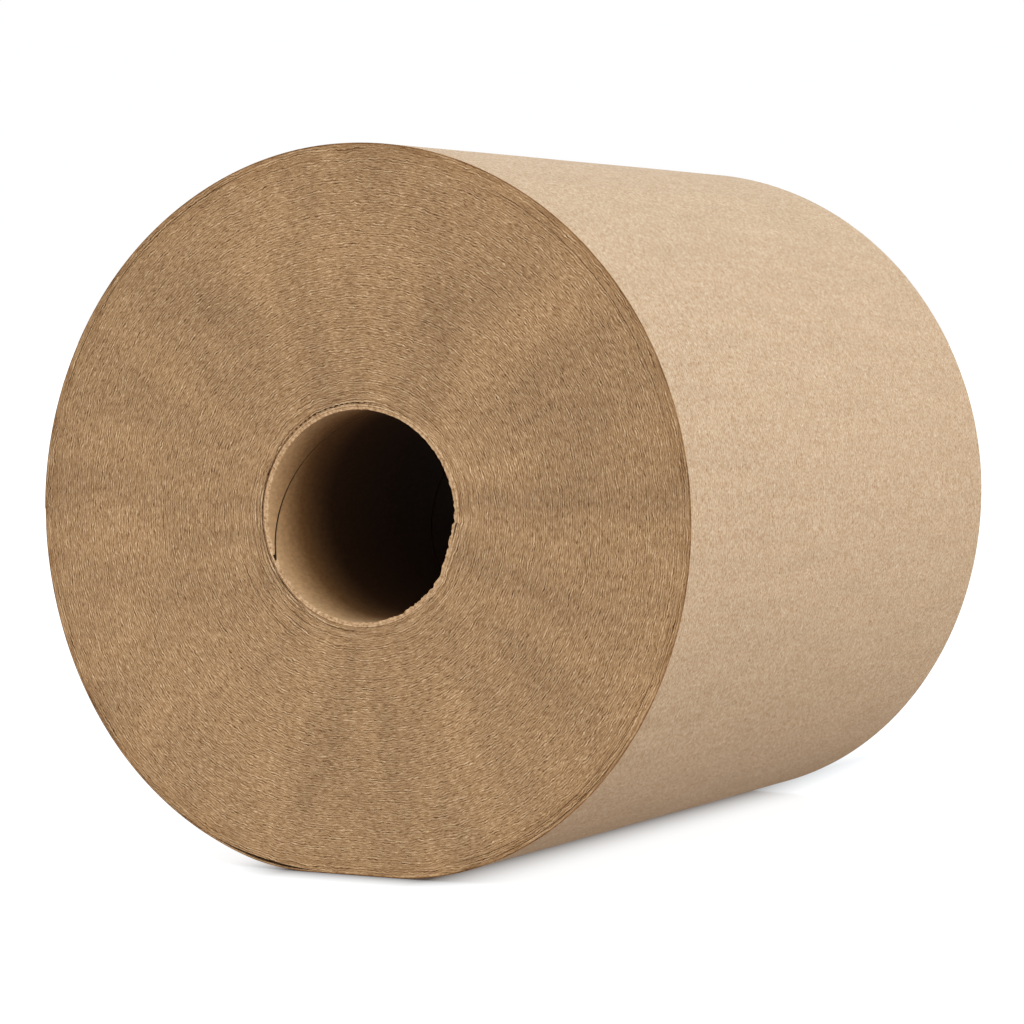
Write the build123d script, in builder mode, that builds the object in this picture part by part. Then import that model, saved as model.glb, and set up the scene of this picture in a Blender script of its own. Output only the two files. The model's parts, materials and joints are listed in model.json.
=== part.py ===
"""Natural kraft paper towel roll lying on its side: a web of paper wound on a paperboard core.

Sizes are in millimetres. The roll's axis runs along Y, its flat spot lies on the plane Z = 0,
and the web's loose end lies along the roll's left side, at -X.
"""

import os
from math import cos, pi

from build123d import *

# Wound paper
roll_diameter = 180.0  # across the roll, level with the core's axis
paper_width = 200.0  # along the axis
flat_spot_width = 20.0  # where the soft roll lies on its underside
flat_spot_depth = 1.2  # how far the underside is pressed in there
tail_thickness = 0.3  # step at the web's loose end

# Core
core_bore_diameter = 52.0
core_wall = 1.2
core_clearance = 0.05  # glue line between the core and the first turn
core_sag = 0.7  # how far the core hangs below the middle of the soft roll
core_offset = 1.8  # how far the core sits to the right of the middle

# Turns that show on both end faces, close together at the core and at the rim
turn_count = 6
turn_setback = 0.6  # every other turn lies this far back from the end face
first_turn_margin = 1.2  # paper between the core's hole and the innermost turn line
last_turn_margin = 1.0  # paper between the outermost turn line and the rim

# Sizes that follow from these
roll_radius = roll_diameter / 2
core_radius = core_bore_diameter / 2 + core_wall
paper_bore_radius = core_radius + core_clearance
first_turn_radius = paper_bore_radius + first_turn_margin
last_turn_radius = roll_radius - last_turn_margin
axis_height = roll_radius - core_sag - flat_spot_depth
half_turns = 2 * turn_count


def turn_radius(half_turn):
    """Distance of the web from the middle of its turn, after this many half turns."""
    share = (1 - cos(pi * half_turn / (half_turns + 1))) / 2
    return first_turn_radius + share * (last_turn_radius - first_turn_radius)


def outward_share(radius):
    """How far out in the paper a turn lies, from 0 at the core to 1 at the rim."""
    return (radius - core_radius) / (roll_radius - core_radius)


def turn_middle(radius):
    """Middle of a turn: at the core it is the core's axis, at the rim it is the middle of the roll."""
    return core_offset * (1 - outward_share(radius))


def left_side(radius):
    """Where a turn crosses the level of the core's axis on the left."""
    return turn_middle(radius) - radius


def right_side(radius):
    """Where a turn crosses the level of the core's axis on the right."""
    return turn_middle(radius) + radius


def lower_half_turn(left, right):
    """The web from the left side, under the core and along the flat, to the right side."""
    drop = right - outward_share(right) * (core_sag + flat_spot_depth)
    half_flat = outward_share(right) * flat_spot_width / 2
    bottom = axis_height - drop
    flat_left = turn_middle(right) - half_flat
    flat_right = turn_middle(right) + half_flat
    EllipticalCenterArc((flat_left, axis_height), flat_left - left_side(left), drop, 180, arc_size=90)
    Line((flat_left, bottom), (flat_right, bottom))
    EllipticalCenterArc((flat_right, axis_height), right_side(right) - flat_right, drop, 270, arc_size=90)


def upper_half_turn(right, left):
    """The web from the right side, over the core, to the left side."""
    rise = right + outward_share(right) * core_sag
    middle = (right_side(right) + left_side(left)) / 2
    EllipticalCenterArc((middle, axis_height), right_side(right) - middle, rise, 0, arc_size=180)


def left_step(inner, outer):
    """Short line across the web on the left side."""
    Line((left_side(inner), axis_height), (left_side(outer), axis_height))


def turn_edge(start):
    """One edge of the spiral of turns, out from the core, starting at this half turn."""
    for half_turn in range(start, start + half_turns, 2):
        right = turn_radius(half_turn + 1)
        lower_half_turn(turn_radius(half_turn), right)
        upper_half_turn(right, turn_radius(half_turn + 2))


# Wound paper: one solid, with every other turn of its spiral set back on both end faces
with BuildPart() as wound_paper:
    with BuildSketch(Plane.XZ):
        with BuildLine():
            lower_half_turn(roll_radius - tail_thickness, roll_radius)
            upper_half_turn(roll_radius, roll_radius)
            left_step(roll_radius - tail_thickness, roll_radius)
        make_face()
        with Locations((core_offset, axis_height)):
            Circle(paper_bore_radius, mode=Mode.SUBTRACT)
    extrude(amount=paper_width / 2, both=True)

    for end in (1, -1):
        with BuildSketch(Plane.XZ.offset(end * paper_width / 2)):
            with BuildLine():
                turn_edge(0)
                turn_edge(1)
                left_step(turn_radius(0), turn_radius(1))
                left_step(turn_radius(half_turns), turn_radius(half_turns + 1))
            make_face()
        extrude(amount=-end * turn_setback, mode=Mode.SUBTRACT)

# Core: paperboard tube, cut flush with the paper
with BuildPart() as core_tube:
    with BuildSketch(Plane.XZ):
        with Locations((core_offset, axis_height)):
            Circle(core_radius)
            Circle(core_bore_diameter / 2, mode=Mode.SUBTRACT)
    extrude(amount=paper_width / 2, both=True)

wound_paper.part.label = "wound_paper"
core_tube.part.label = "core_tube"

os.makedirs("parts", exist_ok=True)
export_step(wound_paper.part, "parts/wound_paper.step")
export_step(core_tube.part, "parts/core_tube.step")
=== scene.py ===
import json
import math

import bmesh
import bpy
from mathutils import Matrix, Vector, noise


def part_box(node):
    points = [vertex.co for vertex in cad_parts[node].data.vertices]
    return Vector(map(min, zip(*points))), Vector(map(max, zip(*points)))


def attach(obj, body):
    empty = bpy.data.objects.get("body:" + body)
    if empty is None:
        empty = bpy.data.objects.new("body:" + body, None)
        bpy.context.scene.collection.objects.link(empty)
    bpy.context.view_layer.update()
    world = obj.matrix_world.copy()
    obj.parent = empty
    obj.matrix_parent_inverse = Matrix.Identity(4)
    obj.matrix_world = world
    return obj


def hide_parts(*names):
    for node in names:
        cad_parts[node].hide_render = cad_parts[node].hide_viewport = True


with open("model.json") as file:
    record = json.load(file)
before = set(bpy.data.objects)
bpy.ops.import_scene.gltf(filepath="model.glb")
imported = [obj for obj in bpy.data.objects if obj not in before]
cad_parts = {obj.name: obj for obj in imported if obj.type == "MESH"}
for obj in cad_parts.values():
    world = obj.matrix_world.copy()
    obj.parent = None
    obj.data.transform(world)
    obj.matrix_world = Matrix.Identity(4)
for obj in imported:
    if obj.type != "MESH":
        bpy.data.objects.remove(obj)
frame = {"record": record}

# Looks of a natural kraft paper towel roll that lies on its side, in metres.
# The roll's axis runs along Y, and the end face that shows most is at -Y.
# Angles go round the core, from the right side (0) over the top (90) to the left side (180).
MM = 0.001
FULL_TURN = 2 * math.pi

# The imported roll
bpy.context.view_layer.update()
paper_low, paper_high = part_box("wound_paper")
core_low, core_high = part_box("core_tube")
core_axis = (core_low + core_high) / 2
core_radius = (core_high.x - core_low.x) / 2
bore_radius = next(m["dims"]["r_mm"] for m in frame["record"]["mounts"] if m["name"] == "core_bore") * MM
roll_radius = (paper_high.x - paper_low.x) / 2
roll_end = paper_high.y
flat_depth = 2 * roll_radius - paper_high.z
core_sag = roll_radius - flat_depth - core_axis.z

# Wound paper
PAPER_COLUMNS = 448  # round the roll
SIDE_ROWS = 30  # along the roll
END_ROW_STEP = 1.5 * MM  # between rows of an end face
HALF_FLAT = 10 * MM
FLAT_ANGLE = math.radians(6.4)  # half of the flat, seen from the core
GLUE_GAP = 0.05 * MM  # between core and paper
RIM_EDGE = 0.18 * MM  # soft edge of the cut paper
LEVEL_RIM = 0.5 * MM  # over which the uneven end face goes over to a level rim

# Gaps between turns: millimetres out from the core, width, and from and to which angle they are open
CORE_GAPS = ((0.35, 0.40, 74, 236), (1.1, 0.16, 158, 262), (2.0, 0.14, 165, 235), (3.2, 0.14, 176, 250),
             (4.8, 0.14, 188, 246), (7.5, 0.14, 196, 240))
# The same near the rim: millimetres in from it
RIM_GAPS = ((3.4, 0.14, 12, 70), (2.5, 0.14, 285, 352), (1.6, 0.16, 105, 168), (1.0, 0.18, 290, 330),
            (0.45, 0.16, 200, 268))
GAP_DEPTH = 0.9 * MM
GAP_FLOOR = 0.7  # width of a gap's floor, as a share of the gap's
GAP_FADE = math.radians(16)  # over which a gap closes at both of its ends
GAP_WAVES = 9  # of its depth, round the roll
GAP_UNEVEN = 0.3  # share of its depth that changes
FAR_GAP_SHIFT = math.pi / 2  # how much further on the gaps lie at the far end
SCALLOPS = 108  # short dashes round the innermost gap
SCALLOP_END = math.radians(146)  # where they go over to a plain line
SCALLOP_SLOPE = (-0.2, 0.6)  # between which heights of its wave a dash opens

# Unevenness of the ends and of the outside
PACKET_SETBACK = 0.14 * MM  # how far back packets of turns lie at an end
PACKET_WAVES = 0.8  # round the roll
PACKET_SEED = 3.7
PACKET_END_SEED = 9.1
END_WAVES_OUT = 140  # for each metre out from the core
END_WAVES_ROUND = 1.5
END_WAVE_SEED = 4
SIDE_WAVE = 0.12 * MM
SIDE_WAVES_ROUND = 2.2
SIDE_WAVES_ALONG = 16  # for each metre

# Loose end of the paper, on the left side
TAIL_STEP = 0.3 * MM
TAIL_LIFT = 0.12 * MM
TAIL_CURL = math.radians(14)  # how far back from its edge the paper starts to lift
TAIL_UNDERCUT = math.radians(1.4)
TAIL_FOOT = 2.9  # columns from the edge to where the turn below goes on
TAIL_ZONE = 4 * MM  # how far in from the rim the loose end shows
TAIL_TUCK = 15 * MM  # along the roll, where the corner at the near end lies closer
TAIL_TUCKED = 0.7  # share of the step that is gone at the corner
TAIL_WAVES = 22  # for each metre
TAIL_UNEVEN = 0.3  # share of the lift that changes
TAIL_SEED = 4.2

# Loose outermost turn, at the lower left of the near rim
LOOSE_ANGLE = math.radians(253)
LOOSE_SPREAD = math.radians(11)
LOOSE_GAP = 0.6 * MM
LOOSE_REACH = 14 * MM  # along the roll

# Paperboard core: an outer ply and an inner ply wound in a helix
CORE_COLUMNS = 360
CORE_EDGE = 0.12 * MM
INNER_PLY = 0.7 * MM
PLY_GAP = 0.04 * MM
SEAM_MOUTH = math.radians(207)  # where the inner ply's joint meets the near mouth
SEAM_LEAD = 82 * MM  # along the core for one turn of the joint
SEAM_GAP = 0.9 * MM
CUT_DEPTHS = [d * MM for d in (0.3, 1.2, 3, 6, 10)]  # rows of the plies behind a mouth

# Ragged cut of the inner ply
RAGGED_EDGE = 0.45 * MM
RAGGED_ANGLE = math.radians(-30)  # where the cut is most ragged
RAGGED_SPREAD = math.radians(95)
RAGGED_CALM = 0.75  # share of it that is missing far from there
RAGGED_DEPTHS = (0.1 * MM, 1.5 * MM)  # behind the mouth, between which it fades
RAGGED_WAVES = 34  # round the mouth
RAGGED_SEED = 2.5

# Dent at the right of the near mouth, and the inner ply's torn corner at its upper end
DENT_START = math.radians(-2)
DENT_END = math.radians(-33)
DENT_DEPTH = 0.8 * MM
DENT_REACH = 10 * MM  # along the core
DENT_SPREAD = 5 * MM  # out into the turns
TORN_LIFT = 0.45 * MM
TORN_SPREAD = math.radians(14)
TORN_EDGE = math.radians(1)
TORN_REACH = 5 * MM  # along the core

# Finish of the cut turns
TURN_DRIFT = 1.4 * MM  # how far the strokes wander over a long stretch
TURN_SWAY = 0.8 * MM  # and over a short one
STROKE = (1.5 * MM, 0.28 * MM)  # length along the winding and width across it
LONG_STROKE = (9.0 * MM, 0.36 * MM)
STROKE_CONTRAST = 0.68
LONG_STROKE_CONTRAST = 1.7
END_STROKE_SHIFT = 71  # for each metre along the roll, so that the two ends differ
LINES_NEAR_CORE = 9.09 * MM  # how far out from the core long strokes show
LINES_NEAR_RIM = 5.88 * MM  # and how far in from the rim
LINES_BETWEEN = 0.06  # how much of them is left in between
LINES_SHARE = 0.6  # their weight against the fine strokes
TURN_RIPPLES = ((0.53 * MM, 0.9 * MM, 17), (0.67 * MM, 1.15 * MM, 29))  # spacing, length and seed
RIPPLE_WIDTH = 0.42 * MM
TURN_RIPPLE_SHARE = 0.13
RIPPLE_BREAK = (0.4125, 0.25)  # height of a grain where a ripple starts, and the rise until it shows in full
SECTORS_ROUND = 5
SECTORS_OUT = 25  # for each metre out from the core
RIM_LINE_START = 0.36 * MM  # in from the rim
RIM_LINE_FADE = 0.14 * MM
RIM_SHADE = (0.91, 0.88, 0.84, 1)
RIM_LINE_SHADE = (0.70, 0.60, 0.48, 1)

# Finish of the outside
CREPE_SWAY = 1.6 * MM
CREPE_SHARE = 0.49
SPECK_SHARE = 0.21
SIDE_RIPPLE = 1.25 * MM  # spacing along the roll
SIDE_RIPPLE_SHARE = 0.06
FIBRE_START = 0.59  # height of the grain from which a dark fibre shows
FIBRE_FADE = 1 / 7
FIBRE_SHARE = 0.6

# Finish of the core
BORE_SHADE_DEPTH = 32 * MM  # how far into the bore the painted shade takes to darken its wall fully; the wall is pale only at the mouth
CUT_BOARD = 0.4 * MM  # how far in from the mouth the board's cut shows
JOINT_START = 0.1 * MM  # out from the bore, where its wall goes over to the joint's floor
BOARD_FADE = 0.2 * MM  # over which these go over

# Colours along a grain or a depth, with red, green and blue from 0 to 255
CUT_TURN_COLOURS = ((0.24, (74, 49, 26)), (0.40, (137, 107, 75)), (0.50, (157, 127, 94)),
                    (0.60, (174, 145, 111)), (0.76, (211, 186, 152)))
SIDE_COLOURS = ((0.30, (132, 97, 66)), (0.41, (174, 148, 119)), (0.50, (184, 162, 136)),
                (0.60, (196, 177, 153)), (0.72, (222, 209, 190)))
# The bore's colours: the board's own brown at the mouth, darkening with depth as painted shade
BORE_COLOURS_AND_SHADE = ((0.0, (178, 146, 108)), (0.25, (152, 119, 82)), (0.5, (112, 79, 45)), (1.0, (68, 42, 19)))
CUT_BOARD_COLOURS = ((0.30, (128, 97, 64)), (0.48, (180, 148, 112)), (0.70, (208, 181, 146)))
FIBRE_COLOUR = (150, 106, 66)
# Painted shade: near black for the board in the shade of the inner ply's joint
JOINT_SHADE_COLOUR = (46, 29, 14)

# Studio
FLOOR_SIZE = 40
FLOOR_SHADE = 33 * MM  # how far from the roll's flat the floor's painted shadow reaches
NEAR_END_SHADE = 20 * MM  # the same ahead of the near end
FAR_END_SHADE = 200 * MM  # and behind the far end
CONTACT_SHADE = 1.9  # strength of the painted shadow next to the flat, where it is held at 1
FLOOR_GLOW = 0.85
SHADED_GLOW = 0.02
FLOOR_COLOUR = (0.315, 0.32, 0.325, 1)
GLOW_COLOUR = (0.99, 1, 1.005, 1)
SKY_TINTS = ((0.0, (1, 0.62, 0.32)), (0.5, (1, 1, 1)), (1.0, (1, 1.03, 1.07)))  # from below to above
SIDE_LIGHT = 0.80
FRONT_LIGHT = 0.33  # how much more the front lights, and how much less the back
DIM_BELOW = -0.4  # height, on a ball round the roll, below which the surroundings get darker
DIM_SLOPE = 1.25

# View of the photograph
VIEW_AZIMUTH = math.radians(26.85)
VIEW_ELEVATION = math.radians(2.76)
VIEW_DISTANCE = 0.9942
VIEW_TARGET = Vector((-0.0073, 0, 0.0846))
VIEW_LENS = 130.1


def smooth(low, high, value):
    """0 below low, 1 above high and an even rise between them."""
    t = min(max((value - low) / (high - low), 0), 1)
    return t * t * (3 - 2 * t)


def partly(share, value):
    """1 where the value is 1, falling by the share as the value falls to 0."""
    return 1 - share + share * value


def angle_from(start, angle):
    """How far an angle lies from a start, from minus to plus half a turn."""
    return (angle - start + math.pi) % FULL_TURN - math.pi


def bump(centre, spread, angle):
    """1 at an angle round the roll, falling evenly to 0 a spread away from it."""
    return 1 - smooth(0, spread, abs(angle_from(centre, angle)))


def ring_noise(angle, turns, seed):
    """Even noise from -1 to 1 that meets itself after a full turn."""
    return noise.noise(Vector((math.cos(angle) * turns, math.sin(angle) * turns, seed)))


def finish_mesh(bm, name, sharp_angle):
    """A mesh object with its faces outwards, shaded smooth but for its real edges."""
    bmesh.ops.recalc_face_normals(bm, faces=bm.faces)
    mesh = bpy.data.meshes.new(name)
    bm.to_mesh(mesh)
    bm.free()
    mesh.shade_smooth()
    mesh.set_sharp_from_angle(angle=math.radians(sharp_angle))
    piece = bpy.data.objects.new(name, mesh)
    bpy.context.scene.collection.objects.link(piece)
    return piece


def spun_section(rows, columns, layers):
    """A ring spun round the core's axis from the rows of its section.

    Each row is (radius, y, value of each named layer)."""
    bm = bmesh.new()
    handles = [bm.verts.layers.float.new(layer) for layer in layers]
    for radius, y, *values in rows:
        vert = bm.verts.new((core_axis.x + radius, y, core_axis.z))
        for handle, value in zip(handles, values):
            vert[handle] = value
    bm.verts.ensure_lookup_table()
    for i in range(len(rows)):
        bm.edges.new((bm.verts[i - 1], bm.verts[i]))
    bmesh.ops.spin(bm, geom=bm.verts[:] + bm.edges[:], cent=core_axis, axis=(0, -1, 0),
                   angle=FULL_TURN, steps=columns, use_merge=True)
    return bm, handles


def place_round_core(vert):
    """Radius and angle of a vertex about the core's axis."""
    dx, dz = vert.co.x - core_axis.x, vert.co.z - core_axis.z
    return math.hypot(dx, dz), math.atan2(dz, dx) % FULL_TURN


def mouth_dent(angle, depth):
    """How far the near mouth is pressed in at an angle, this deep behind it."""
    share = angle_from(DENT_START, angle) / (DENT_END - DENT_START)
    if not 0 < share < 1:
        return 0
    return DENT_DEPTH * 4 * share * (1 - share) * (1 - smooth(0, DENT_REACH, depth))


# Wound paper
paper_bore = core_radius + GLUE_GAP
gap_radii = [paper_bore + gap[0] * MM for gap in CORE_GAPS] + [roll_radius - gap[0] * MM for gap in RIM_GAPS]
gap_halves = [gap[1] / 2 * MM for gap in CORE_GAPS + RIM_GAPS]
gap_windows = [(math.radians(gap[2]), math.radians(gap[3])) for gap in CORE_GAPS + RIM_GAPS]


def filled(start, stop):
    """Radii from start to stop, not further apart than the step of an end face."""
    count = max(1, math.ceil((stop - start) / END_ROW_STEP))
    return [start + (stop - start) * i / count for i in range(1, count + 1)]


def end_face_rows():
    """Radius of each row of an end face, with the gap between turns whose floor it lies on, or 0."""
    rows = [(paper_bore, 0)]
    for number, (radius, half) in enumerate(zip(gap_radii, gap_halves), 1):
        floor = half * GAP_FLOOR
        rows += [(r, 0) for r in filled(rows[-1][0], radius - half)]
        rows += [(radius - floor, number), (radius + floor, number), (radius + half, 0)]
    rows += [(r, 0) for r in filled(rows[-1][0], roll_radius - RIM_EDGE)]
    return rows


def paper_rows():
    """Section of the wound paper: near end, outside, far end and the hole for the core."""
    ends = end_face_rows()
    side_end = roll_end - RIM_EDGE
    rows = [(r, -roll_end, r, gap) for r, gap in ends]
    for i in range(SIDE_ROWS + 1):
        rows.append((roll_radius, side_end * (2 * i / SIDE_ROWS - 1), roll_radius, 0))
    rows += [(r, roll_end, r, gap) for r, gap in reversed(ends)]
    return rows


def sagged(radius, angle):
    """Place in the section of a point of a turn, round at the core and sagged towards the rim."""
    share = (radius - core_radius) / (roll_radius - core_radius)
    middle = core_axis.x * (1 - share)
    if math.sin(angle) >= 0:
        return middle + radius * math.cos(angle), core_axis.z + (radius + share * core_sag) * math.sin(angle)
    half_flat = share * HALF_FLAT
    drop = radius - share * (core_sag + flat_depth)
    from_bottom = angle - 1.5 * math.pi
    if abs(from_bottom) <= FLAT_ANGLE:
        return middle + half_flat * from_bottom / FLAT_ANGLE, core_axis.z - drop
    side = math.copysign(1, from_bottom)
    quarter = (abs(from_bottom) - FLAT_ANGLE) / (math.pi / 2 - FLAT_ANGLE) * math.pi / 2
    return (middle + side * (half_flat + (radius - half_flat) * math.sin(quarter)),
            core_axis.z - drop * math.cos(quarter))


def gap_depth(number, angle, end):
    """How deep a gap between turns is at an angle, at the near end (-1) or the far end (1)."""
    start, stop = gap_windows[number - 1]
    along = (angle - start - (FAR_GAP_SHIFT if end > 0 else 0)) % FULL_TURN
    length = stop - start
    openness = smooth(0, GAP_FADE, along) * (1 - smooth(length - GAP_FADE, length, along))
    if number == 1:
        dashed = 1 - smooth(SCALLOP_END - GAP_FADE, SCALLOP_END, angle)
        openness *= 1 - dashed * (1 - smooth(*SCALLOP_SLOPE, math.sin(angle * SCALLOPS)))
    depth = GAP_DEPTH * openness * partly(GAP_UNEVEN, ring_noise(angle, GAP_WAVES, number))
    if number == len(gap_radii) and end < 0:
        depth += LOOSE_REACH / 3 * bump(LOOSE_ANGLE, LOOSE_SPREAD, angle)
    return depth


def packet_setback(radius, angle, end):
    """How far back the packet of turns at a radius lies from the end face."""
    packet = sum(radius > gap for gap in gap_radii)
    uneven = ring_noise(angle, PACKET_WAVES, packet * PACKET_SEED + end * PACKET_END_SEED)
    waves = noise.noise(Vector((radius * END_WAVES_OUT, math.cos(angle) * END_WAVES_ROUND,
                                math.sin(angle) * END_WAVES_ROUND + end * END_WAVE_SEED)))
    return PACKET_SETBACK * (1 + 0.5 * uneven + 0.5 * waves)


def side_wave(angle, y):
    """How far the outside of the paper swells or sinks."""
    round_x, round_z = math.cos(angle) * SIDE_WAVES_ROUND, math.sin(angle) * SIDE_WAVES_ROUND
    return SIDE_WAVE * noise.noise(Vector((round_x, round_z, y * SIDE_WAVES_ALONG)))


def loose_turn(radius, angle, y):
    """How far the outermost turn stands off, and how far the turns inside it have given way."""
    reach = 1 - smooth(0, LOOSE_REACH, y + roll_end)
    window = bump(LOOSE_ANGLE, LOOSE_SPREAD, angle) * reach
    if radius > gap_radii[-1]:
        return 0.5 * LOOSE_GAP * window
    return -0.5 * LOOSE_GAP * window * smooth(roll_radius - TAIL_ZONE, gap_radii[-1], radius)


def loose_end(radius, angle, y):
    """New radius and angle near the paper's loose end on the left side.

    The columns next to its edge become the edge, the undercut behind it and the turn below."""
    zone = smooth(roll_radius - TAIL_ZONE, roll_radius, radius)
    column = FULL_TURN / PAPER_COLUMNS
    lift = TAIL_LIFT * partly(TAIL_UNEVEN, noise.noise(Vector((y * TAIL_WAVES, TAIL_SEED, 0))))
    step = TAIL_STEP * partly(TAIL_TUCKED, smooth(0, TAIL_TUCK, y + roll_end))
    lift *= step / TAIL_STEP
    past = angle - math.pi
    if -TAIL_CURL < past < column / 2:
        return radius + zone * lift * (1 + past / TAIL_CURL) ** 2, angle
    if 0 < past < 1.5 * column:
        return radius + zone * (lift - step), angle - zone * column
    if 0 < past < 2.5 * column:
        return radius - zone * step, angle - zone * (2 * column + TAIL_UNDERCUT)
    if 0 < past < 3.5 * column:
        return radius - zone * step, angle - zone * TAIL_FOOT * column
    if past > 0:
        return radius - zone * step * (1 - past / math.pi), angle
    return radius, angle


def wound_paper():
    """The wound web: sagged outline, gaps between turns at both ends, loose end and loose outer turn."""
    bm, (turn, gap) = spun_section(paper_rows(), PAPER_COLUMNS, ("turn_radius", "gap"))
    for vert in bm.verts:
        radius, angle = place_round_core(vert)
        y = vert.co.y
        end = math.copysign(1, y)
        share = (radius - paper_bore) / (roll_radius - paper_bore)
        if radius < roll_radius - RIM_EDGE / 2:
            inwards = packet_setback(radius, angle, end)
            if vert[gap] > 0.5:
                inwards += gap_depth(round(vert[gap]), angle, end)
            vert.co.y = y - end * inwards * smooth(0, LEVEL_RIM, roll_radius - radius)
        dent = mouth_dent(angle, y + roll_end) * (1 - smooth(0, DENT_SPREAD, radius - paper_bore))
        laid, angle = loose_end(radius + share * side_wave(angle, y) - dent, angle, y)
        laid += loose_turn(radius, angle, y)
        vert.co.x, vert.co.z = sagged(laid, angle)
        vert.co.z = max(vert.co.z, 0)
    for face in bm.faces:
        face.material_index = 0 if min(v[turn] for v in face.verts) > roll_radius - RIM_EDGE / 2 else 1
    return finish_mesh(bm, "wound_paper_web", sharp_angle=40)


# Paperboard core
def core_point(vert, radius, angle):
    """Puts a vertex of the core at a radius and an angle about its axis."""
    vert.co.x = core_axis.x + radius * math.cos(angle)
    vert.co.z = core_axis.z + radius * math.sin(angle)


def outer_ply():
    """Outer ply of the core: a plain tube, pressed in where the mouth is dented."""
    inner = bore_radius + INNER_PLY + PLY_GAP
    inside = roll_end - CORE_EDGE
    depths = [-inside] + [-roll_end + d for d in CUT_DEPTHS] + [inside]
    rows = [(inner, y) for y in depths]
    rows += [(inner + CORE_EDGE, roll_end), (core_radius - CORE_EDGE, roll_end)]
    rows += [(core_radius, y) for y in reversed(depths)]
    rows += [(core_radius - CORE_EDGE, -roll_end), (inner + CORE_EDGE, -roll_end)]
    bm, _ = spun_section(rows, CORE_COLUMNS, ())
    for vert in bm.verts:
        radius, angle = place_round_core(vert)
        core_point(vert, radius - mouth_dent(angle, vert.co.y + roll_end), angle)
    return finish_mesh(bm, "core_outer_ply", sharp_angle=50)


def cut_across(bm, y, side=0):
    """Cuts the ply across at y; side +1 or -1 takes away and closes what lies beyond it."""
    geom = bm.verts[:] + bm.edges[:] + bm.faces[:]
    bmesh.ops.bisect_plane(bm, geom=geom, dist=1e-7, plane_co=(0, y, 0), plane_no=(0, side or 1, 0),
                           clear_outer=bool(side))
    if side:
        bmesh.ops.holes_fill(bm, edges=[e for e in bm.edges if e.is_boundary], sides=0)


def ragged_cut(radius, angle, y):
    """How far the inner ply's cut strays in or out, most at the bore and not at all at the outer ply."""
    mouth = 1 - smooth(*RAGGED_DEPTHS, roll_end - abs(y))
    reach = RAGGED_EDGE * mouth * partly(RAGGED_CALM, bump(RAGGED_ANGLE, RAGGED_SPREAD, angle))
    return reach * ring_noise(angle, RAGGED_WAVES, RAGGED_SEED) * (1 - (radius - bore_radius) / INNER_PLY)


def torn_corner(angle, depth):
    """How far the inner ply stands into the bore at its torn corner."""
    swing = (DENT_START - angle) % FULL_TURN
    lift = TORN_LIFT * (1 - smooth(0, TORN_SPREAD, swing)) * smooth(0, TORN_EDGE, swing)
    return lift * (1 - smooth(0, TORN_REACH, depth))


def inner_ply():
    """Inner ply of the core: a strip wound in a helix and trimmed flush, its joint showing in the bore."""
    # The strip starts past the far end and stops past the near one
    turns_before = math.ceil(2 * roll_end / SEAM_LEAD) + 0.5
    turns = turns_before + 1.5
    steps = round(CORE_COLUMNS * turns)
    first = SEAM_MOUTH - FULL_TURN * turns_before
    start = -roll_end + SEAM_LEAD * turns_before
    stop = start + SEAM_LEAD - SEAM_GAP
    outside = bore_radius + INNER_PLY
    bm = bmesh.new()
    section = []
    for radius, y in ((bore_radius, start), (outside, start), (outside, stop), (bore_radius, stop)):
        section.append(bm.verts.new((0, y, 0)))
        core_point(section[-1], radius, first)
    face = bm.faces.new(section)
    bmesh.ops.spin(bm, geom=[face] + face.edges[:] + section, cent=core_axis, axis=(0, -1, 0),
                   dvec=(0, -SEAM_LEAD * turns / steps, 0), angle=FULL_TURN * turns, steps=steps)
    cut_across(bm, roll_end - CORE_EDGE, 1)
    cut_across(bm, -roll_end + CORE_EDGE, -1)
    for depth in CUT_DEPTHS:
        cut_across(bm, -roll_end + depth)
        cut_across(bm, roll_end - depth)
    for vert in bm.verts:
        radius, angle = place_round_core(vert)
        depth = vert.co.y + roll_end
        pressed = radius - mouth_dent(angle, depth) - torn_corner(angle, depth)
        core_point(vert, pressed + ragged_cut(radius, angle, vert.co.y), angle)
    return finish_mesh(bm, "core_inner_ply", sharp_angle=50)


# Finishes
def new_finish(name):
    """An empty material and its principled shader, joined to the output."""
    finish = bpy.data.materials.new(name)
    finish.use_nodes = True
    tree = finish.node_tree
    tree.nodes.clear()
    shader = tree.nodes.new("ShaderNodeBsdfPrincipled")
    output = tree.nodes.new("ShaderNodeOutputMaterial")
    tree.links.new(shader.outputs["BSDF"], output.inputs["Surface"])
    return finish, tree, shader


def feed(tree, socket, value):
    """Joins another node's output to a socket, or sets it to a plain value."""
    if isinstance(value, bpy.types.NodeSocket):
        tree.links.new(value, socket)
    else:
        socket.default_value = value


def calc(tree, operation, *values):
    """The result of one Math node."""
    node = tree.nodes.new("ShaderNodeMath")
    node.operation = operation
    for socket, value in zip(node.inputs, values):
        feed(tree, socket, value)
    return node.outputs[0]


def limited(tree, value, top=1):
    """The value, held between 0 and the top."""
    return calc(tree, "MINIMUM", calc(tree, "MAXIMUM", value, 0), top)


def rise(tree, value, start, length, top=1):
    """0 up to a start, rising to 1 over a length, and held at the top."""
    return limited(tree, calc(tree, "MULTIPLY", calc(tree, "SUBTRACT", value, start), 1 / length), top)


def nearness(tree, distance, reach):
    """1 at no distance, 0 at the reach and less beyond it."""
    return calc(tree, "MULTIPLY_ADD", distance, -1 / reach, 1)


def contrasted(tree, value, factor):
    """The value, moved towards a half or away from it."""
    return calc(tree, "MULTIPLY_ADD", value, factor, (1 - factor) / 2)


def joined(tree, x, y, z):
    """A vector from its three values."""
    node = tree.nodes.new("ShaderNodeCombineXYZ")
    for socket, value in zip(node.inputs, (x, y, z)):
        feed(tree, socket, value)
    return node.outputs[0]


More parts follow.
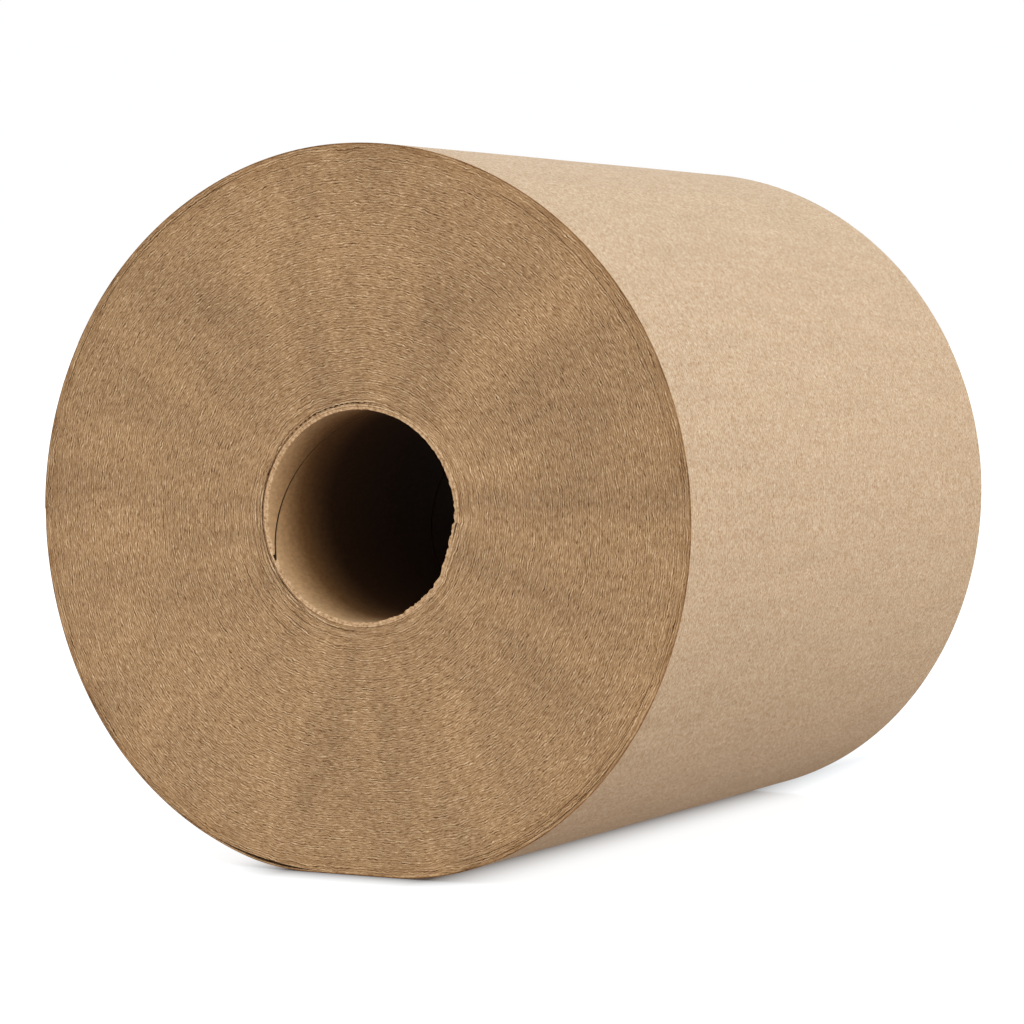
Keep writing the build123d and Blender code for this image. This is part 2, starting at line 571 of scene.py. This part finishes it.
def parted(tree, vector):
    """The three values of a vector."""
    node = tree.nodes.new("ShaderNodeSeparateXYZ")
    tree.links.new(vector, node.inputs[0])
    return node.outputs[:]


def drawn_out(tree, x, y, z, factor):
    """A vector whose y is multiplied, to make a grain longer or shorter along the roll."""
    return joined(tree, x, calc(tree, "MULTIPLY", y, factor), z)


def grain(tree, vector, scale, detail=2.0, roughness=0.5):
    """Noise from 0 to 1, most of it near a half."""
    node = tree.nodes.new("ShaderNodeTexNoise")
    feed(tree, node.inputs["Vector"], vector)
    node.inputs["Scale"].default_value = scale
    node.inputs["Detail"].default_value = detail
    node.inputs["Roughness"].default_value = roughness
    return node.outputs["Fac"]


def swayed(tree, value, shift, reach):
    """The value, shifted to and fro by a grain."""
    return calc(tree, "MULTIPLY_ADD", calc(tree, "SUBTRACT", shift, 0.5), reach, value)


def broken(tree, wave, shown):
    """A wave that shows in short lengths, where a grain is high."""
    return calc(tree, "MULTIPLY", wave, rise(tree, shown, *RIPPLE_BREAK))


def ramp(tree, value, stops):
    """Colours along a value; each stop is (position, (red, green, blue))."""
    node = tree.nodes.new("ShaderNodeValToRGB")
    feed(tree, node.inputs["Fac"], value)
    elements = node.color_ramp.elements
    while len(elements) < len(stops):
        elements.new(1.0)
    for element, (position, colour) in zip(elements, stops):
        element.position = position
        element.color = (*colour, 1.0)
    return node.outputs["Color"]


def srgb(numbers):
    """Linear colour from red, green and blue between 11 and 255."""
    return tuple(((number / 255 + 0.055) / 1.055) ** 2.4 for number in numbers)


def coloured(tree, value, stops):
    """A ramp whose colours are numbers up to 255."""
    return ramp(tree, value, [(position, srgb(numbers)) for position, numbers in stops])


def blend(tree, mode, factor, first, second):
    """Two colours mixed in one of Blender's modes."""
    node = tree.nodes.new("ShaderNodeMix")
    node.data_type = "RGBA"
    node.blend_type = mode
    feed(tree, node.inputs["Factor"], factor)
    colours = [s for s in node.inputs if s.type == "RGBA"]
    feed(tree, colours[0], first)
    feed(tree, colours[1], second)
    return next(s for s in node.outputs if s.type == "RGBA")


def toned(tree, colour, value, low, dark, high, light):
    """The colour, darker where the value is low and lighter where it is high."""
    return blend(tree, "MULTIPLY", 1.0, colour, ramp(tree, value, ((low, dark), (high, light))))


def relief(tree, shader, height, strength, distance):
    """Fine unevenness of the surface."""
    node = tree.nodes.new("ShaderNodeBump")
    node.inputs["Strength"].default_value = strength
    node.inputs["Distance"].default_value = distance
    tree.links.new(height, node.inputs["Height"])
    tree.links.new(node.outputs["Normal"], shader.inputs["Normal"])


def matt(shader, roughness, gloss):
    """A dull surface with a faint gloss."""
    shader.inputs["Roughness"].default_value = roughness
    shader.inputs["Specular IOR Level"].default_value = gloss


def object_place(tree):
    """Object coordinates as a vector."""
    return tree.nodes.new("ShaderNodeTexCoord").outputs["Object"]


def place_from_core(tree):
    """Object coordinates: the vector, and x, y and z from the core's axis."""
    coords = object_place(tree)
    x, y, z = parted(tree, coords)
    return coords, calc(tree, "SUBTRACT", x, core_axis.x), y, calc(tree, "SUBTRACT", z, core_axis.z)


def cut_turns_finish():
    """Cut edges of the creped turns: fine wavy strokes along the winding, longer at the core and the rim."""
    finish, tree, shader = new_finish("kraft_cut_turns")
    coords, x, y, z = place_from_core(tree)
    attribute = tree.nodes.new("ShaderNodeAttribute")
    attribute.attribute_name = "turn_radius"
    radius = attribute.outputs["Fac"]
    turn = swayed(tree, radius, grain(tree, coords, 150, detail=1.0), TURN_DRIFT)
    turn = swayed(tree, turn, grain(tree, coords, 700), TURN_SWAY)

    def strokes(length, width, seed, detail):
        """Grain drawn out along the winding."""
        across = calc(tree, "MULTIPLY_ADD", y, END_STROKE_SHIFT, seed)
        across = calc(tree, "MULTIPLY_ADD", turn, 1 / width, across)
        along = [calc(tree, "MULTIPLY", value, 1 / length) for value in (x, z)]
        return grain(tree, joined(tree, along[0], across, along[1]), 1.0, detail, roughness=0.6)

    def ripples(spacing, length, seed):
        """Strokes at an even spacing across the turns, broken into short lengths."""
        wave = calc(tree, "SINE", calc(tree, "MULTIPLY_ADD", turn, FULL_TURN / spacing, seed))
        return broken(tree, wave, strokes(length, RIPPLE_WIDTH, seed, detail=1.0))

    ripple = calc(tree, "ADD", *[ripples(*sizes) for sizes in TURN_RIPPLES])
    fine = strokes(*STROKE, seed=0, detail=2.0)
    long = contrasted(tree, strokes(*LONG_STROKE, seed=40, detail=1.0), LONG_STROKE_CONTRAST)
    near_core = nearness(tree, calc(tree, "SUBTRACT", radius, paper_bore), LINES_NEAR_CORE)
    near_rim = nearness(tree, calc(tree, "SUBTRACT", roll_radius, radius), LINES_NEAR_RIM)
    lines = calc(tree, "MAXIMUM", calc(tree, "MAXIMUM", near_core, near_rim), LINES_BETWEEN)
    lines = calc(tree, "MULTIPLY", lines, LINES_SHARE)
    mixed = calc(tree, "MULTIPLY", fine, calc(tree, "SUBTRACT", 1, lines))
    mixed = calc(tree, "MULTIPLY_ADD", long, lines, mixed)
    mixed = contrasted(tree, mixed, STROKE_CONTRAST)
    mixed = calc(tree, "MULTIPLY_ADD", ripple, TURN_RIPPLE_SHARE, mixed)
    colour = coloured(tree, mixed, CUT_TURN_COLOURS)

    outward = tree.nodes.new("ShaderNodeVectorMath")
    outward.operation = "NORMALIZE"
    feed(tree, outward.inputs[0], joined(tree, x, 0.0, z))
    round_x, _, round_z = parted(tree, outward.outputs[0])
    waves = ((round_x, SECTORS_ROUND), (radius, SECTORS_OUT), (round_z, SECTORS_ROUND))
    sectors = joined(tree, *[calc(tree, "MULTIPLY", value, count) for value, count in waves])
    sectors = grain(tree, sectors, 1.0, detail=3.0, roughness=0.55)
    colour = toned(tree, colour, sectors, 0.3, (0.86,) * 3, 0.7, (1.12,) * 3)

    colour = blend(tree, "MULTIPLY", calc(tree, "MAXIMUM", near_rim, 0), colour, RIM_SHADE)
    rim_line = rise(tree, radius, roll_radius - RIM_LINE_START, RIM_LINE_FADE)
    colour = blend(tree, "MULTIPLY", rim_line, colour, RIM_LINE_SHADE)
    tree.links.new(colour, shader.inputs["Base Color"])
    matt(shader, roughness=0.95, gloss=0.1)
    relief(tree, shader, mixed, strength=0.6, distance=0.4 * MM)
    return finish


def creped_side_finish():
    """Outside of the paper: pale, finely creped and speckled."""
    finish, tree, shader = new_finish("kraft_creped_side")
    coords, x, y, z = place_from_core(tree)
    across = swayed(tree, y, grain(tree, coords, 450), CREPE_SWAY)
    crepe = grain(tree, drawn_out(tree, x, across, z, 1.3), 1300, detail=1.0)
    specks = grain(tree, coords, 1700, detail=1.0)
    wave = calc(tree, "SINE", calc(tree, "MULTIPLY", across, FULL_TURN / SIDE_RIPPLE))
    ripple = broken(tree, wave, grain(tree, coords, 900, detail=1.0))
    mixed = calc(tree, "MULTIPLY_ADD", specks, SPECK_SHARE, (1 - CREPE_SHARE - SPECK_SHARE) / 2)
    mixed = calc(tree, "MULTIPLY_ADD", crepe, CREPE_SHARE, mixed)
    mixed = calc(tree, "MULTIPLY_ADD", ripple, SIDE_RIPPLE_SHARE, mixed)
    colour = coloured(tree, mixed, SIDE_COLOURS)
    fibre = grain(tree, drawn_out(tree, x, across, z, 1.8), 1900, detail=1.0)
    fibre = rise(tree, fibre, FIBRE_START, FIBRE_FADE, FIBRE_SHARE)
    colour = blend(tree, "MIX", fibre, colour, (*srgb(FIBRE_COLOUR), 1))
    patches = grain(tree, coords, 330, detail=3.0, roughness=0.6)
    colour = toned(tree, colour, patches, 0.34, (0.955, 0.94, 0.915), 0.66, (1.03, 1.04, 1.05))
    bands = grain(tree, drawn_out(tree, x, y, z, 0.1), 260)
    colour = toned(tree, colour, bands, 0.3, (0.965,) * 3, 0.7, (1.03,) * 3)
    tree.links.new(colour, shader.inputs["Base Color"])
    matt(shader, roughness=0.92, gloss=0.15)
    relief(tree, shader, mixed, strength=0.4, distance=0.3 * MM)
    return finish


def core_board_finish():
    """Paperboard of the core: brown and faintly fibrous inside, with painted shade that darkens the bore's
    wall deeper in and painted shade in its joint, paler where it is cut.
    """
    finish, tree, shader = new_finish("core_paperboard")
    _, x, y, z = place_from_core(tree)
    fibres = grain(tree, drawn_out(tree, x, y, z, 0.5), 1100, detail=3.0, roughness=0.6)
    # Painted shade: the bore's wall darkens with depth behind each mouth, standing for the shade deep in the
    # tube
    depth = calc(tree, "SUBTRACT", roll_end, calc(tree, "ABSOLUTE", y))
    wall = coloured(tree, calc(tree, "MULTIPLY", depth, 1 / BORE_SHADE_DEPTH), BORE_COLOURS_AND_SHADE)
    wall = toned(tree, wall, fibres, 0.30, (0.82,) * 3, 0.72, (1.16,) * 3)
    radius = calc(tree, "SQRT", calc(tree, "MULTIPLY_ADD", x, x, calc(tree, "MULTIPLY", z, z)))
    # Painted shade: the joint's floor and walls, out from the bore, are coloured near black for the shade in
    # the narrow gap
    joint_shade = rise(tree, radius, bore_radius + JOINT_START, BOARD_FADE)
    wall = blend(tree, "MIX", joint_shade, wall, (*srgb(JOINT_SHADE_COLOUR), 1))
    at_cut = limited(tree, calc(tree, "MULTIPLY", calc(tree, "SUBTRACT", CUT_BOARD, depth), 1 / BOARD_FADE))
    colour = blend(tree, "MIX", at_cut, wall, coloured(tree, fibres, CUT_BOARD_COLOURS))
    tree.links.new(colour, shader.inputs["Base Color"])
    matt(shader, roughness=0.85, gloss=0.2)
    relief(tree, shader, fibres, strength=0.2, distance=0.1 * MM)
    return finish


# Studio
def floor_finish():
    """Plain white floor that glows faintly, with its glow dropping close to where the roll rests as a painted
    contact shadow.
    """
    finish, tree, shader = new_finish("white_floor")
    x, y, _ = parted(tree, object_place(tree))

    def fading(distance, edge, reach):
        """1 up to an edge, falling evenly to 0 at the reach beyond it."""
        share = limited(tree, nearness(tree, calc(tree, "SUBTRACT", distance, edge), reach))
        return calc(tree, "MULTIPLY", share, share)

    # Painted shadow: the glow drops beside the flat and past both ends of the roll
    painted_shadow = fading(calc(tree, "ABSOLUTE", x), HALF_FLAT, FLOOR_SHADE)
    painted_shadow = calc(tree, "MINIMUM", calc(tree, "MULTIPLY", painted_shadow, CONTACT_SHADE), 1)
    ahead = fading(calc(tree, "MULTIPLY", y, -1), roll_end, NEAR_END_SHADE)
    behind = fading(y, roll_end, FAR_END_SHADE)
    painted_shadow = calc(tree, "MULTIPLY", painted_shadow, calc(tree, "MULTIPLY", ahead, behind))
    glow = calc(tree, "MULTIPLY_ADD", painted_shadow, SHADED_GLOW - FLOOR_GLOW, FLOOR_GLOW)
    tree.links.new(glow, shader.inputs["Emission Strength"])
    shader.inputs["Base Color"].default_value = FLOOR_COLOUR
    shader.inputs["Emission Color"].default_value = GLOW_COLOUR
    matt(shader, roughness=0.9, gloss=0.0)
    return finish


def white_floor():
    """A wide floor that casts no light of its own on the roll."""
    bm = bmesh.new()
    bmesh.ops.create_grid(bm, x_segments=2, y_segments=2, size=FLOOR_SIZE)
    floor = finish_mesh(bm, "white_floor", sharp_angle=40)
    floor.data.materials.append(floor_finish())
    floor.visible_diffuse = False


def soft_light(name, direction, spread, power, colour):
    """Even light from one side of the studio, softened over a wide angle."""
    lamp = bpy.data.lights.new(name, "SUN")
    lamp.color = colour
    lamp.angle = math.radians(spread)
    lamp.energy = power
    holder = bpy.data.objects.new(name, lamp)
    holder.rotation_euler = Vector(direction).to_track_quat("Z", "Y").to_euler()
    bpy.context.scene.collection.objects.link(holder)


def white_surroundings():
    """White where the camera sees them; as light, brightest in front, and darker and warmer below."""
    world = bpy.data.worlds.new("white_studio")
    bpy.context.scene.world = world
    world.use_nodes = True
    tree = world.node_tree
    background = tree.nodes["Background"]
    _, y, z = parted(tree, tree.nodes.new("ShaderNodeTexCoord").outputs["Generated"])
    tint = ramp(tree, calc(tree, "MULTIPLY_ADD", z, 0.5, 0.5), SKY_TINTS)
    tree.links.new(tint, background.inputs["Color"])
    below = calc(tree, "MINIMUM", calc(tree, "SUBTRACT", z, DIM_BELOW), 0)
    around = calc(tree, "MULTIPLY_ADD", y, -FRONT_LIGHT, SIDE_LIGHT)
    around = calc(tree, "MULTIPLY_ADD", below, DIM_SLOPE, around)
    seen = tree.nodes.new("ShaderNodeLightPath").outputs["Is Camera Ray"]
    tree.links.new(calc(tree, "MAXIMUM", seen, around), background.inputs["Strength"])


def studio():
    """White surroundings, a soft top light, a key light from the right and a fill light from behind."""
    white_surroundings()
    soft_light("top_light", (0.0, -0.2, 1.0), spread=80, power=0.62, colour=(0.93, 1.0, 1.07))
    soft_light("key_light", (0.87, -0.26, 0.34), spread=34, power=1.84, colour=(1, 0.965, 0.91))
    soft_light("fill_light", (-0.60, 0.75, 0.40), spread=60, power=1.3, colour=(0.97, 1.0, 1.03))
    bpy.context.scene.view_settings.view_transform = "Standard"


def photo_camera():
    """Camera at the photograph's angle and distance."""
    lens = bpy.data.cameras.new("photo_camera")
    lens.lens = VIEW_LENS
    lens.sensor_width = 36
    lens.clip_start = 0.01
    lens.clip_end = 200
    level = math.cos(VIEW_ELEVATION)
    back = Vector((math.sin(VIEW_AZIMUTH) * level, -math.cos(VIEW_AZIMUTH) * level, math.sin(VIEW_ELEVATION)))
    camera = bpy.data.objects.new("photo_camera", lens)
    camera.location = VIEW_TARGET + back * VIEW_DISTANCE
    camera.rotation_euler = (-back).to_track_quat("-Z", "Y").to_euler()
    bpy.context.scene.collection.objects.link(camera)
    bpy.context.scene.camera = camera


# The roll
paper = wound_paper()
paper.data.materials.append(creped_side_finish())
paper.data.materials.append(cut_turns_finish())
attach(paper, "root")
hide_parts("wound_paper")

board = core_board_finish()
for ply in (outer_ply(), inner_ply()):
    ply.data.materials.append(board)
    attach(ply, "root")
    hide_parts("core_tube")

white_floor()
studio()
photo_camera()
